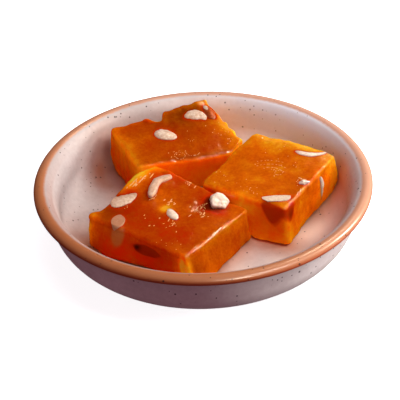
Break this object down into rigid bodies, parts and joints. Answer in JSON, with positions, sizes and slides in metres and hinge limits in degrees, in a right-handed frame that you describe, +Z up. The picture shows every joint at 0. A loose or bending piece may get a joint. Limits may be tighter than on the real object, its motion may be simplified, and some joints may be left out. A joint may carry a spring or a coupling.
{
  "type": "bombay halwa in a dish",
  "caption": "Clear orange halwa cut in blocks, set with almond pieces, lying in a shallow glazed stoneware bowl with a brown rim.",
  "frame": {"origin": "middle of the bowl's foot, on the surface that it stands on", "axes": "+Z up, -Y towards the side that the picture shows, +X to its right"},
  "size_m": [0.1498, 0.1498, 0.0336],
  "materials": {
    "speckled_glaze": "pale grey-pink speckled stoneware glaze, with a bare-brown rim",
    "halwa_jelly": "wet, clear orange cornflour jelly, lighter at its thin edges",
    "blanched_almond": "cut, skinned almond, creamy white",
    "almond_skin": "wet brown almond skin"
  },
  "bodies": {
    "root": {"bowl": "speckled_glaze", "halwa_front": "halwa_jelly", "halwa_right": "halwa_jelly", "halwa_back": "halwa_jelly", "almond_front_curl": "blanched_almond", "almond_front_leaf": "blanched_almond", "almond_front_left": "blanched_almond", "almond_front_centre": "blanched_almond", "almond_front_chunk": "blanched_almond", "almond_back_oval": "blanched_almond", "almond_back_crescent": "blanched_almond", "almond_back_brown": "almond_skin", "almond_right_far": "blanched_almond", "almond_right_cut": "almond_skin", "almond_right_chip": "blanched_almond", "almond_right_side": "blanched_almond"}
  },
  "joints": []
}
